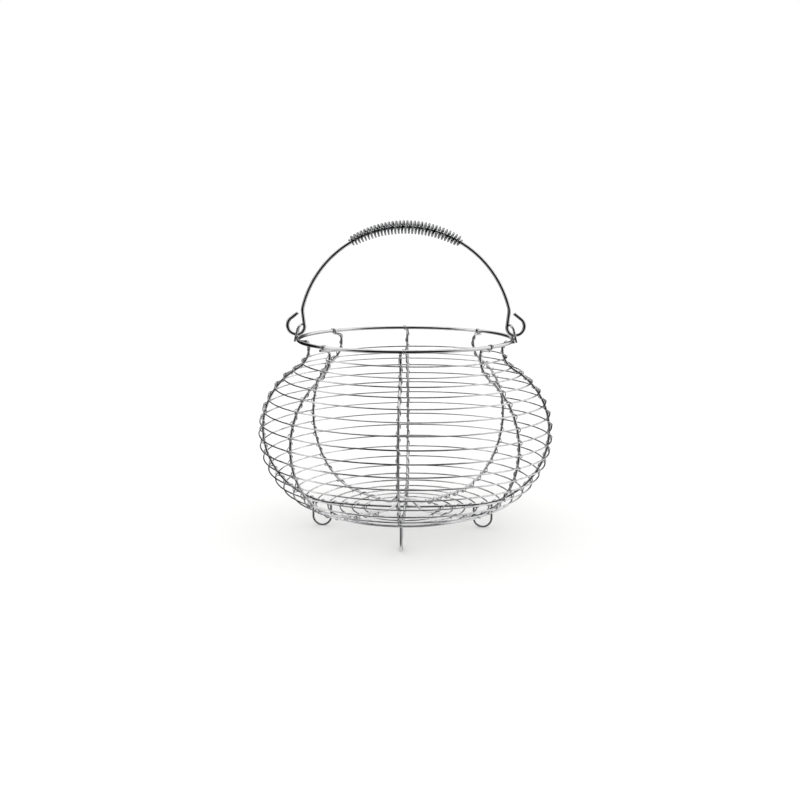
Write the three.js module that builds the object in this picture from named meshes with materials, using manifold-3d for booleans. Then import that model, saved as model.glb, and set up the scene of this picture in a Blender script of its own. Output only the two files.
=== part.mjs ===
// Wire egg basket with a swinging bail, all in chrome-plated steel wire.
// Millimetres, +Z up. The basket stands on z = 0 with its axis on Z.
// The front is at -Y, and the line that the bail swings on runs along X.
import * as THREE from 'three';
import { mergeVertices } from 'three/addons/utils/BufferGeometryUtils.js';
import Module from 'manifold-3d';

const { degToRad, smoothstep } = THREE.MathUtils;
const TURN = 2 * Math.PI;

// Wire diameters
const RIM_WIRE = 3.0;
const RIB_WIRE = 2.2;
const WEFT_WIRE = 1.2;
const BINDING_WIRE = 0.8;
const BAIL_WIRE = 3.0;
const GRIP_WIRE = 1.4;
const EAR_WIRE = 2.0;
const FOOT_WIRE = 2.0;
// Air between wires that touch
const CLEARANCE = 0.3;

// Outline of the basket, on the centrelines of the rim and the ribs
const RIM_RADIUS = 88;
const RIM_HEIGHT = 159.5;
const NECK_INSET = 8.2;
const WAIST_DROP = 7.5;
const BELLY_RADIUS = 119.5;
const BELLY_HEIGHT = 83;
const BASE_SLOPE = degToRad(5);
// End of each rib, from the rim's centreline outwards
const RIB_TIP = 1.9;
// Bends above and below the belly, as shares of the heights from it to the rim and to the floor
const SHOULDER_SHARE = 0.771;
const LOWER_SHARE = 0.765;

// Weft: one wire wound round the ribs from the neck to the base
const WEFT_PITCH = 10.1;
const WEFT_PAST_BELLY = 2.4;
const WEFT_TURNS_ABOVE = 8.13;
const WEFT_TURNS_BELOW = 12.5;

// Binding: one loop of thin wire round each crossing of rib and weft, then up the rib and round the rim.
// It leaves the rib at this part of a loop, beside it
const BINDING_SLACK = 0.15;
const BINDING_LEAVES = 0.75;
const WRAP_LOOPS = 1.5;
const WRAP_PITCH = 1.4;

// Feet
const FOOT_TURN = 8.5;
const FOOT_LEG_ROOM = 2.1;
const FOOT_FLAT = 0.4;

// Ears outside the rim that hold the bail; the crown of each nods in towards it
const EAR_HALF_WIDTH = 4;
const EAR_RISE = 11.2;
const EAR_TAIL = 3.2;
const EAR_LEAN = degToRad(13);
const EAR_NOD = 2.1;

// Bail
const BAIL_RISE = 87.7;
const BAIL_INSET = 0.6;
const BAIL_LEG_TOP = 24;
const BAIL_LEG_KINK = 3.5;
const BAIL_KINK_BEND = 12;
const BAIL_FOOT_INSET = 5.5;
const BAIL_FOOT_BEND = 6.2;
const BAIL_HOOK_REACH = 2.1;
const BAIL_HOOK_BEND = 7.4;
const BAIL_HOOK_TURN = degToRad(52);
const BAIL_HOOK_TIP = 7.5;

// Spring grip on the top of the bail
const GRIP_CURLS = 33;
const GRIP_HALF_ANGLE = degToRad(31);
const GRIP_MID_RADIUS = 5;
const GRIP_END_RADIUS = 3.8;

// Facets: sides of each wire's section, and steps along its arcs, octants or loops
const SIDES = { thick: 6, weft: 4, binding: 3, grip: 5 };
const RIM_STEPS = 64;
const RIB_STEPS = { lip: 4, neck: 6, shoulder: 6, lower: 9, base: 2, lift: 4, crossing: 1 };
const WEFT_OCTANT_STEPS = { wide: 4, narrow: 3 };
const WEFT_WIDE_RADIUS = 90;
const BINDING_STEPS = 6;
const WRAP_STEPS = 8;
const FOOT_STEPS = 8;
const EAR_STEPS = 8;
const BAIL_STEPS = { arch: 14, kink: 3, foot: 5, hook: 6 };
const GRIP_STEPS = 8;
// Slack for sums of fractions of a turn
const ROUNDING = 1e-6;
const WELD = 1e-4;

// Azimuths of the ribs from +X towards +Y; three of them stand a little out of their places
const RIBS = {
  right: 0,
  rear_right: degToRad(45),
  rear: degToRad(91.3),
  rear_left: degToRad(136.8),
  left: degToRad(180),
  front_left: degToRad(225),
  front: degToRad(270),
  front_right: degToRad(319.4),
};
const RIB_NAMES = Object.keys(RIBS);
const FRONT = RIBS.front;

// Half the sum of two wires and the air between them: how far apart their centrelines lie
const seat = (wireA, wireB) => (wireA + wireB) / 2 + CLEARANCE;

const plane = (x, y) => new THREE.Vector2(x, y);
const polar = (centre, radius, angle) =>
  plane(centre.x + radius * Math.cos(angle), centre.y + radius * Math.sin(angle));
const bearing = (from, to) => Math.atan2(to.y - from.y, to.x - from.x);

// A point of the half-plane at a given azimuth: x is the radius and y the height
function around(point, azimuth) {
  return new THREE.Vector3(point.x * Math.cos(azimuth), point.x * Math.sin(azimuth), point.y);
}

// A path through given stations, so that a sweep has one section at each
class StationPath extends THREE.Curve {
  constructor(stations) {
    super();
    this.stations = stations;
  }

  getUtoTmapping(u) {
    return u;
  }

  getPoint(t, target = new THREE.Vector3()) {
    const last = this.stations.length - 1;
    return target.copy(this.stations[Math.min(last, Math.round(t * last))]);
  }

  getTangent(t, target = new THREE.Vector3()) {
    const last = this.stations.length - 1;
    const index = Math.round(t * last);
    const next = this.stations[Math.min(last, index + 1)];
    const previous = this.stations[Math.max(0, index - 1)];
    return target.subVectors(next, previous).normalize();
  }
}

// A wire of the given diameter along its stations, with closed ends
function wireGeometry(stations, diameter, sides) {
  const section = new THREE.Shape();
  for (let i = 0; i < sides; i += 1) {
    const corner = polar(plane(0, 0), diameter / 2, (TURN * i) / sides);
    if (i === 0) section.moveTo(corner.x, corner.y);
    else section.lineTo(corner.x, corner.y);
  }
  section.closePath();
  return new THREE.ExtrudeGeometry(section, {
    steps: stations.length - 1,
    bevelEnabled: false,
    extrudePath: new StationPath(stations),
  });
}

// Least air between the loops of a wound wire, measured between stations at least half a loop apart
function printLoopGap(name, stations, diameter, halfLoop) {
  let least = Infinity;
  for (let i = 0; i < stations.length; i += 1) {
    for (let j = i + halfLoop; j < stations.length; j += 1) {
      least = Math.min(least, stations[i].distanceTo(stations[j]));
    }
  }
  console.log(`${name}: least gap between its loops ${(least - diameter).toFixed(2)} mm`);
}

// A chain of arcs in the half-plane, from a rib's lip down to the middle of the base
class ArcChain {
  constructor(arcs) {
    this.arcs = arcs.map((arc) => ({ ...arc, length: arc.radius * Math.abs(arc.to - arc.from) }));
    this.belly = 0;
    for (const arc of this.arcs) {
      if (arc.startsAtBelly) break;
      this.belly += arc.length;
    }
  }

  // Point and outward normal at a distance past the belly, which is negative above it
  at(pastBelly) {
    let rest = this.belly + pastBelly;
    let index = 0;
    while (index < this.arcs.length - 1 && rest > this.arcs[index].length) {
      rest -= this.arcs[index].length;
      index += 1;
    }
    const arc = this.arcs[index];
    const way = Math.sign(arc.to - arc.from);
    const angle = arc.from + (way * rest) / arc.radius;
    const outward = plane(-Math.cos(angle), -Math.sin(angle)).multiplyScalar(way);
    return { point: polar(arc.centre, arc.radius, angle), outward };
  }

  // The ends of each arc's steps, from the first to the last
  stations() {
    const points = [];
    this.arcs.forEach((arc, index) => {
      for (let i = index === 0 ? 0 : 1; i <= arc.steps; i += 1) {
        points.push(polar(arc.centre, arc.radius, arc.from + ((arc.to - arc.from) * i) / arc.steps));
      }
    });
    return points;
  }
}

const rimCentre = plane(RIM_RADIUS, RIM_HEIGHT);
const shoulderBend = SHOULDER_SHARE * (RIM_HEIGHT - BELLY_HEIGHT);
const shoulderCentre = plane(BELLY_RADIUS - shoulderBend, BELLY_HEIGHT);
const lowerBend = LOWER_SHARE * BELLY_HEIGHT;
const lowerCentre = plane(BELLY_RADIUS - lowerBend, BELLY_HEIGHT);
const baseBend = lowerBend + lowerCentre.x / Math.sin(BASE_SLOPE);
const baseCentre = plane(0, BELLY_HEIGHT + (baseBend - lowerBend) * Math.cos(BASE_SLOPE));

// Under the rim a rib runs level to its tip; its lip turns down from there to the waist
const waist = plane(RIM_RADIUS - NECK_INSET, RIM_HEIGHT - WAIST_DROP);
const lipBend = WAIST_DROP - seat(RIM_WIRE, RIB_WIRE);
const lipCentre = plane(waist.x + lipBend, waist.y);
const ribTip = plane(RIM_RADIUS + RIB_TIP, waist.y + lipBend);

// The neck is upright at the waist and touches the shoulder from outside
const acrossNeck = waist.x - shoulderCentre.x;
const upNeck = waist.y - shoulderCentre.y;
const neckBend = (acrossNeck ** 2 + upNeck ** 2 - shoulderBend ** 2) / (2 * (shoulderBend - acrossNeck));
const neckCentre = plane(waist.x + neckBend, waist.y);
const shoulderTop = bearing(shoulderCentre, neckCentre);

const baseAngle = (radius) => Math.asin(radius / baseBend) - Math.PI / 2;
const onBase = (from, to, steps) =>
  ({ centre: baseCentre, radius: baseBend, from: baseAngle(from), to: baseAngle(to), steps });

// Half of a rib from its lip down, with the base cut at the radii where the crossing lifts
function ribChain(liftStarts, liftEnds) {
  const baseEdge = baseBend * Math.sin(BASE_SLOPE);
  return new ArcChain([
    { centre: lipCentre, radius: lipBend, from: Math.PI / 2, to: Math.PI, steps: RIB_STEPS.lip },
    {
      centre: neckCentre,
      radius: neckBend,
      from: Math.PI,
      to: shoulderTop + Math.PI,
      steps: RIB_STEPS.neck,
    },
    { centre: shoulderCentre, radius: shoulderBend, from: shoulderTop, to: 0, steps: RIB_STEPS.shoulder },
    {
      centre: lowerCentre,
      radius: lowerBend,
      from: 0,
      to: BASE_SLOPE - Math.PI / 2,
      steps: RIB_STEPS.lower,
      startsAtBelly: true,
    },
    onBase(baseEdge, liftStarts, RIB_STEPS.base),
    onBase(liftStarts, liftEnds, RIB_STEPS.lift),
    onBase(liftEnds, 0, RIB_STEPS.crossing),
  ]);
}

// How far past the belly the weft has come at an azimuth, after whole turns from the front
const weftPastBelly = (azimuth, turns) => WEFT_PAST_BELLY + WEFT_PITCH * ((azimuth - FRONT) / TURN + turns);
const weftStart = WEFT_PAST_BELLY - WEFT_PITCH * WEFT_TURNS_ABOVE;
const weftEnd = WEFT_PAST_BELLY + WEFT_PITCH * WEFT_TURNS_BELOW;

// The four ribs rise over one another inside the last turn of the weft and its bindings
const liftEnds = RIB_WIRE * 2;
const plainChain = ribChain(liftEnds, liftEnds);
const liftStarts = plainChain.at(weftEnd + WEFT_PITCH / 2).point.x - RIB_WIRE / 2;
const liftingChain = ribChain(liftStarts, liftEnds);

// One wire from the rim down, under the base and up to the rim on the other side
function ribStations(places, layer) {
  const [near, far] = places.map((place) => [ribTip, ...liftingChain.stations()].map(({ x, y }) => {
    const lift = 1 - smoothstep(x, liftEnds, liftStarts);
    return around(plane(x, y + layer * (RIB_WIRE + CLEARANCE) * lift), RIBS[place]);
  }));
  return [...near, ...far.reverse().slice(1)];
}

// The weft spirals down outside the ribs, with a station on each rib
function weftStations() {
  const away = seat(RIB_WIRE, WEFT_WIRE);
  const first = FRONT - WEFT_TURNS_ABOVE * TURN;
  const last = FRONT + WEFT_TURNS_BELOW * TURN;
  const crossings = [];
  for (let turn = Math.floor(first / TURN); turn <= last / TURN; turn += 1) {
    crossings.push(...Object.values(RIBS).map((azimuth) => azimuth + turn * TURN));
  }
  const ends = crossings.filter((azimuth) => azimuth > first + ROUNDING && azimuth < last + ROUNDING);
  const stations = [];
  let from = first;
  for (const to of ends) {
    const radius = plainChain.at(weftPastBelly(from, 0)).point.x;
    const steps = radius > WEFT_WIDE_RADIUS ? WEFT_OCTANT_STEPS.wide : WEFT_OCTANT_STEPS.narrow;
    for (let i = from === first ? 0 : 1; i <= steps; i += 1) {
      const azimuth = from + ((to - from) * i) / steps;
      const { point, outward } = plainChain.at(weftPastBelly(azimuth, 0));
      stations.push(around(point.addScaledVector(outward, away), azimuth));
    }
    from = to;
  }
  return stations;
}

// How far a binding's centreline lies from its rib's, beside the rib and outside the weft
const bindingBeside = seat(RIB_WIRE, BINDING_WIRE) + BINDING_SLACK;
const bindingOutside = bindingBeside + WEFT_WIRE + CLEARANCE;

// Where a binding leaves its rib for the rim, as a distance past the belly: the top of the lip
const bindingTop = -plainChain.belly;
// Wide enough for the flat sides of the loops to clear the rim
const wrapRadius = seat(RIM_WIRE, BINDING_WIRE) / Math.cos(Math.PI / WRAP_STEPS);
const isUnderEar = (place) => place === 'left' || place === 'right';

// A binding's end climbs the inside of the rim beside its rib and winds on round it
function wrapStations(azimuth) {
  const stations = [];
  for (let i = 0; i <= WRAP_LOOPS * WRAP_STEPS; i += 1) {
    const loops = i / WRAP_STEPS;
    const beside = (bindingBeside + WRAP_PITCH * loops) / RIM_RADIUS;
    stations.push(around(polar(rimCentre, wrapRadius, Math.PI - TURN * loops), azimuth + beside));
  }
  return stations;
}

// A binding wire loops once round rib and weft at each of their crossings, and round the bare rib above
function bindingStations(place) {
  const azimuth = RIBS[place];
  const firstTurn = Math.ceil((weftStart - weftPastBelly(azimuth, 0)) / WEFT_PITCH - ROUNDING);
  const lastTurn = Math.floor((weftEnd - weftPastBelly(azimuth, 0)) / WEFT_PITCH + ROUNDING);
  const firstCrossing = weftPastBelly(azimuth, firstTurn);
  const topLength = firstCrossing - bindingTop;
  const wholeLoops = Math.max(0, Math.round(topLength / WEFT_PITCH - BINDING_LEAVES));
  const topLoops = wholeLoops + BINDING_LEAVES;
  const tangent = new THREE.Vector3(-Math.sin(azimuth), Math.cos(azimuth), 0);
  const ends = lastTurn - firstTurn + 0.5;
  const steps = Math.round((ends + topLoops) * BINDING_STEPS);
  const stations = isUnderEar(place) ? [] : wrapStations(azimuth).reverse();
  for (let i = 0; i <= steps; i += 1) {
    const turns = ends - ((ends + topLoops) * (steps - i)) / steps;
    const pastBelly = firstCrossing + turns * (turns < 0 ? topLength / topLoops : WEFT_PITCH);
    const outside = turns < -0.5 ? bindingBeside : bindingOutside;
    const { point, outward } = plainChain.at(pastBelly);
    const phase = TURN * turns;
    const off = (outside - bindingBeside) / 2 + ((outside + bindingBeside) / 2) * Math.cos(phase);
    const station = around(point.addScaledVector(outward, off), azimuth);
    stations.push(station.addScaledVector(tangent, bindingBeside * Math.sin(phase)));
  }
  return stations;
}

// A foot is a U of wire in the plane of its rib, its legs just outside two turns of the weft
function footStations(azimuth) {
  const turns = [FOOT_TURN - 0.5, FOOT_TURN + 0.5].map((turn) => weftPastBelly(azimuth, turn));
  const [upper, lower] = turns.map((pastBelly) => plainChain.at(pastBelly).outward);
  const outerRoom = FOOT_LEG_ROOM + bindingOutside * upper.x;
  const places = [turns[0] + outerRoom / upper.y, turns[1] - FOOT_LEG_ROOM / lower.y];
  const legs = places.map((pastBelly) => {
    const { point, outward } = plainChain.at(pastBelly);
    const slope = -outward.x / outward.y;
    const drop = (RIB_WIRE / 2 + CLEARANCE) / -outward.y + (slope * FOOT_WIRE) / 2;
    return plane(point.x, point.y - drop);
  });
  const [outer, inner] = legs;
  const bend = (outer.x - inner.x) / 2;
  const centre = plane(inner.x + bend, FOOT_WIRE / 2 - FOOT_FLAT + bend);
  const bottom = [];
  for (let i = 0; i <= FOOT_STEPS; i += 1) {
    bottom.push(polar(centre, bend, (-Math.PI * i) / FOOT_STEPS));
  }
  return [outer, ...bottom, inner].map((point) => around(point, azimuth));
}

// An ear is an arch of wire that stands on the outside of the rim, leans in and spans the bail
function earStations(side) {
  const onRim = polar(rimCentre, seat(RIM_WIRE, EAR_WIRE), EAR_LEAN);
  const rises = plane(-Math.sin(EAR_LEAN), Math.cos(EAR_LEAN));
  const at = (rise, width, nod = 0) => {
    const point = onRim.clone().addScaledVector(rises, rise);
    return new THREE.Vector3(side * (point.x - nod), width, point.y);
  };
  const stations = [at(-EAR_TAIL, EAR_HALF_WIDTH)];
  for (let i = 0; i <= EAR_STEPS; i += 1) {
    const angle = (Math.PI * i) / EAR_STEPS;
    const arch = polar(plane(0, EAR_RISE - EAR_HALF_WIDTH), EAR_HALF_WIDTH, angle);
    stations.push(at(arch.y, arch.x, EAR_NOD * Math.sin(angle) ** 2));
  }
  stations.push(at(-EAR_TAIL, -EAR_HALF_WIDTH));
  return stations;
}

const pivotHeight = RIM_HEIGHT + seat(RIM_WIRE, BAIL_WIRE);
const archRadius = RIM_RADIUS - BAIL_INSET;
const archCentre = plane(0, pivotHeight + BAIL_RISE - archRadius);

// Stations of a rounded corner between two straight runs
function roundedCorner(before, corner, after, radius, steps) {
  const toBefore = before.clone().sub(corner).normalize();
  const toAfter = after.clone().sub(corner).normalize();
  const half = Math.acos(toBefore.dot(toAfter)) / 2;
  const centre = toBefore.clone().add(toAfter).normalize()
    .multiplyScalar(radius / Math.sin(half)).add(corner);
  const start = corner.clone().addScaledVector(toBefore, radius / Math.tan(half));
  const way = Math.sign(toBefore.cross(toAfter));
  const sweep = -way * (Math.PI - 2 * half);
  const from = bearing(centre, start);
  const points = [];
  for (let i = 0; i <= steps; i += 1) {
    points.push(polar(centre, radius, from + (sweep * i) / steps));
  }
  return points;
}

// Half of the bail from the top of its arch down to the hook outside its ear
function bailHalf() {
  const legAngle = Math.asin((pivotHeight + BAIL_LEG_TOP - archCentre.y) / archRadius);
  const points = [];
  for (let i = 0; i <= BAIL_STEPS.arch; i += 1) {
    const fromTop = ((Math.PI / 2 - legAngle) * i) / BAIL_STEPS.arch;
    points.push(polar(archCentre, archRadius, Math.PI / 2 - fromTop));
  }
  const archEnd = points.at(-1);
  const kink = polar(archEnd, BAIL_LEG_KINK, legAngle - Math.PI / 2);
  const foot = plane(RIM_RADIUS - BAIL_FOOT_INSET, pivotHeight);
  const hookCentre = plane(RIM_RADIUS + BAIL_HOOK_REACH, pivotHeight + BAIL_HOOK_BEND);
  const hookStart = plane(hookCentre.x, pivotHeight);
  points.push(...roundedCorner(archEnd, kink, foot, BAIL_KINK_BEND, BAIL_STEPS.kink));
  points.push(...roundedCorner(kink, foot, hookStart, BAIL_FOOT_BEND, BAIL_STEPS.foot));
  for (let i = 0; i <= BAIL_STEPS.hook; i += 1) {
    const angle = -Math.PI / 2 + ((Math.PI / 2 + BAIL_HOOK_TURN) * i) / BAIL_STEPS.hook;
    points.push(polar(hookCentre, BAIL_HOOK_BEND, angle));
  }
  points.push(polar(points.at(-1), BAIL_HOOK_TIP, BAIL_HOOK_TURN + Math.PI / 2));
  return points;
}

function bailStations() {
  const right = bailHalf().map(({ x, y }) => new THREE.Vector3(x, 0, y));
  const left = right.map(({ x, z }) => new THREE.Vector3(-x, 0, z));
  return [...left.reverse(), ...right.slice(1)];
}

// The grip is a barrel-shaped spring whose end curls close in on the bail
function gripStations() {
  const closed = seat(BAIL_WIRE, GRIP_WIRE);
  const count = GRIP_CURLS * GRIP_STEPS;
  const stations = [];
  for (let i = 0; i <= count; i += 1) {
    const share = i / count;
    const curlsFromEnd = Math.min(share, 1 - share) * GRIP_CURLS;
    const barrel = GRIP_END_RADIUS + (GRIP_MID_RADIUS - GRIP_END_RADIUS) * Math.sin(Math.PI * share);
    const radius = closed + (barrel - closed) * smoothstep(curlsFromEnd, 0, 1);
    const angle = Math.PI / 2 + GRIP_HALF_ANGLE * (1 - 2 * share);
    const phase = (TURN * i) / GRIP_STEPS;
    const point = polar(archCentre, archRadius + radius * Math.cos(phase), angle);
    stations.push(new THREE.Vector3(point.x, radius * Math.sin(phase), point.y));
  }
  return stations;
}

const wasm = await Module();
wasm.setup();

// A geometry as a solid that can be cut
function solidOf(geometry) {
  const bare = geometry.clone();
  bare.deleteAttribute('normal');
  bare.deleteAttribute('uv');
  const merged = mergeVertices(bare, WELD);
  return new wasm.Manifold(new wasm.Mesh({
    numProp: 3,
    vertProperties: merged.attributes.position.array,
    triVerts: new Uint32Array(merged.index.array),
  }));
}

// What is left of a geometry above the surface that the basket stands on
function cutFlatBelow(geometry) {
  const block = new THREE.BoxGeometry(4 * BELLY_RADIUS, 4 * BELLY_RADIUS, FOOT_WIRE);
  block.translate(0, 0, -FOOT_WIRE / 2);
  const { vertProperties, triVerts } = solidOf(geometry).subtract(solidOf(block)).getMesh();
  const cut = new THREE.BufferGeometry();
  cut.setAttribute('position', new THREE.BufferAttribute(vertProperties, 3));
  cut.setIndex(new THREE.BufferAttribute(triVerts, 1));
  cut.computeVertexNormals();
  return cut;
}

const basket = new THREE.Group();
basket.name = 'egg_basket';

// A piece of bright chrome-plated wire, each with a material of its own
function addWire(name, geometry) {
  const chrome = new THREE.MeshStandardMaterial({ color: 0xd9dce0, roughness: 0.1, metalness: 1 });
  const mesh = new THREE.Mesh(geometry, chrome);
  mesh.name = name;
  basket.add(mesh);
}

addWire('rim_ring', new THREE.TorusGeometry(RIM_RADIUS, RIM_WIRE / 2, SIDES.thick, RIM_STEPS)
  .translate(0, 0, RIM_HEIGHT));

// The rib wires, lowest first where they cross, with the places of their two halves
const RIB_WIRES = {
  rib_left_right: ['right', 'left'],
  rib_front_rear: ['rear', 'front'],
  rib_diagonal_a: ['rear_right', 'front_left'],
  rib_diagonal_b: ['rear_left', 'front_right'],
};
Object.entries(RIB_WIRES).forEach(([name, places], layer) => {
  addWire(name, wireGeometry(ribStations(places, layer), RIB_WIRE, SIDES.thick));
});

const weft = weftStations();
addWire('weft_spiral', wireGeometry(weft, WEFT_WIRE, SIDES.weft));
printLoopGap('weft_spiral', weft, WEFT_WIRE, WEFT_OCTANT_STEPS.narrow * (RIB_NAMES.length / 2));

RIB_NAMES.forEach((place) => {
  const stations = bindingStations(place);
  addWire(`binding_${place}`, wireGeometry(stations, BINDING_WIRE, SIDES.binding));
  printLoopGap(`binding_${place}`, stations, BINDING_WIRE, BINDING_STEPS / 2);
});

// The feet stand under the ribs at the left, front, right and rear, in the order the weft meets them
const FOOT_PLACES = ['left', 'front', 'right', 'rear'];
FOOT_PLACES.forEach((place) => {
  const azimuth = RIBS[place] + (RIBS[place] < RIBS.left ? TURN : 0);
  const geometry = wireGeometry(footStations(azimuth), FOOT_WIRE, SIDES.thick);
  addWire(`foot_${place}`, cutFlatBelow(geometry));
});

addWire('ear_left', wireGeometry(earStations(-1), EAR_WIRE, SIDES.thick));
addWire('ear_right', wireGeometry(earStations(1), EAR_WIRE, SIDES.thick));

addWire('bail_wire', wireGeometry(bailStations(), BAIL_WIRE, SIDES.thick));

const grip = gripStations();
addWire('grip_spring', wireGeometry(grip, GRIP_WIRE, SIDES.grip));
printLoopGap('grip_spring', grip, GRIP_WIRE, GRIP_STEPS / 2);

export default basket;
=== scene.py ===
"""Chrome wire egg basket with a swinging bail: its looks and its studio.

Sizes are in millimetres and angles in degrees. Meshes are made in metres, in the frame of the
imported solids: +Z up, the front at -Y, the basket standing on z = 0.
"""
import logging
import math
import random
from collections.abc import Iterator
from dataclasses import dataclass, field
from enum import Enum

import bpy
import numpy as np
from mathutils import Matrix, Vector
from mathutils.geometry import interpolate_bezier


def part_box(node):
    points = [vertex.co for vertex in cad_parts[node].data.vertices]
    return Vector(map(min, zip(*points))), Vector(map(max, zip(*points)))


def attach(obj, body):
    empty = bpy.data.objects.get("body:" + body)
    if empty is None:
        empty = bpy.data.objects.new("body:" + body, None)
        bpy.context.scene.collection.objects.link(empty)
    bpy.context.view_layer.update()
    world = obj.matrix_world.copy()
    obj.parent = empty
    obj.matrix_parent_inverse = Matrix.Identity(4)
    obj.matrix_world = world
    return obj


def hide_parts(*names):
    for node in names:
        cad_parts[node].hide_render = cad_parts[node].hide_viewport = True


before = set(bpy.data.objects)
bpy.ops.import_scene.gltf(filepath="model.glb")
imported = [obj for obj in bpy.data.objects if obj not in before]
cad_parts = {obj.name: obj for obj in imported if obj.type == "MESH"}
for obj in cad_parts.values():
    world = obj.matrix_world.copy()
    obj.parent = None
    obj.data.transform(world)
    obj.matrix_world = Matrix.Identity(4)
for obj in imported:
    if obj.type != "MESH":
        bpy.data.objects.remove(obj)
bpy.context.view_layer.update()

log = logging.getLogger("egg_basket")

MM = 0.001
TURN = math.tau
QUARTER = math.pi / 2
# Air left between wires that touch, so that no two surfaces share a place
TOUCH = 0.03
WIRE_UV = "along_and_round"
# Numbers of the lowest and the highest corner of a bounding box
LOW_CORNER = 0
HIGH_CORNER = 6


class Place(Enum):
    """The eight ribs, by their azimuth from +X towards +Y; three stand a little out of place."""

    RIGHT = 0.0
    REAR_RIGHT = 45.0
    REAR = 91.3
    REAR_LEFT = 136.8
    LEFT = 180.0
    FRONT_LEFT = 225.0
    FRONT = 270.0
    FRONT_RIGHT = 319.4

    @property
    def azimuth(self) -> float:
        """Angle round the basket's axis, in radians."""
        return math.radians(self.value)

    @property
    def under_ear(self) -> bool:
        """True for the two ribs that end below the bail's ears."""
        return self in (Place.LEFT, Place.RIGHT)


class WireEnd(Enum):
    """How a wire ends."""

    CUT = "cut"
    JOINED = "joined"


class Body(Enum):
    """The two bodies that the pieces ride on."""

    BASKET = "basket"
    HANDLE = "handle"


def seat(wire_a: float, wire_b: float, gap: float = TOUCH) -> float:
    """Distance between the centrelines of two wires that lie on each other."""
    return (wire_a + wire_b) / 2 + gap


def polar(centre: Vector, radius: float, angle: float) -> Vector:
    """Point of a circle in a plane."""
    return Vector((centre.x + radius * math.cos(angle), centre.y + radius * math.sin(angle)))


def bearing(start: Vector, end: Vector) -> float:
    """Angle of the line from one point of a plane to another."""
    return math.atan2(end.y - start.y, end.x - start.x)


def around(point: Vector, azimuth: float) -> Vector:
    """Point of the half-plane at an azimuth: x is its radius and y its height."""
    return Vector((point.x * math.cos(azimuth), point.x * math.sin(azimuth), point.y))


def smoothstep(value: float, low: float, high: float) -> float:
    """Smooth ramp from 0 at low to 1 at high."""
    share = min(1.0, max(0.0, (value - low) / (high - low)))
    return share * share * (3 - 2 * share)


def linear(hex_colour: str) -> tuple[float, float, float, float]:
    """Turns an sRGB colour to a linear one.

    Args:
        hex_colour: The colour as a hex value, such as "#c0c4c8".

    Returns:
        Red, green and blue, with full alpha.
    """
    channels = (int(hex_colour[i : i + 2], 16) / 255 for i in (1, 3, 5))
    red, green, blue = (c / 12.92 if c <= 0.04045 else ((c + 0.055) / 1.055) ** 2.4 for c in channels)
    return red, green, blue, 1.0


def add_node(
    tree: bpy.types.NodeTree,
    kind: str,
    inputs: dict[str | int, object] | None = None,
    **settings: object,
) -> bpy.types.Node:
    """Adds a node with its settings and links.

    Args:
        tree: The node tree that gets the node.
        kind: The node's class name.
        inputs: Input socket, by name or number, to a value or to another node's output.
        settings: Attributes of the node.

    Returns:
        The new node.
    """
    node = tree.nodes.new(kind)
    for name, value in settings.items():
        setattr(node, name, value)
    for socket, value in (inputs or {}).items():
        if isinstance(value, bpy.types.NodeSocket):
            tree.links.new(value, node.inputs[socket])
        else:
            node.inputs[socket].default_value = value
    return node


def bare_material(name: str) -> bpy.types.Material:
    """Makes a material that has no nodes yet.

    Args:
        name: The material's name.

    Returns:
        The new material.
    """
    material = bpy.data.materials.new(name)
    material.use_nodes = True
    material.node_tree.nodes.clear()
    return material


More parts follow.
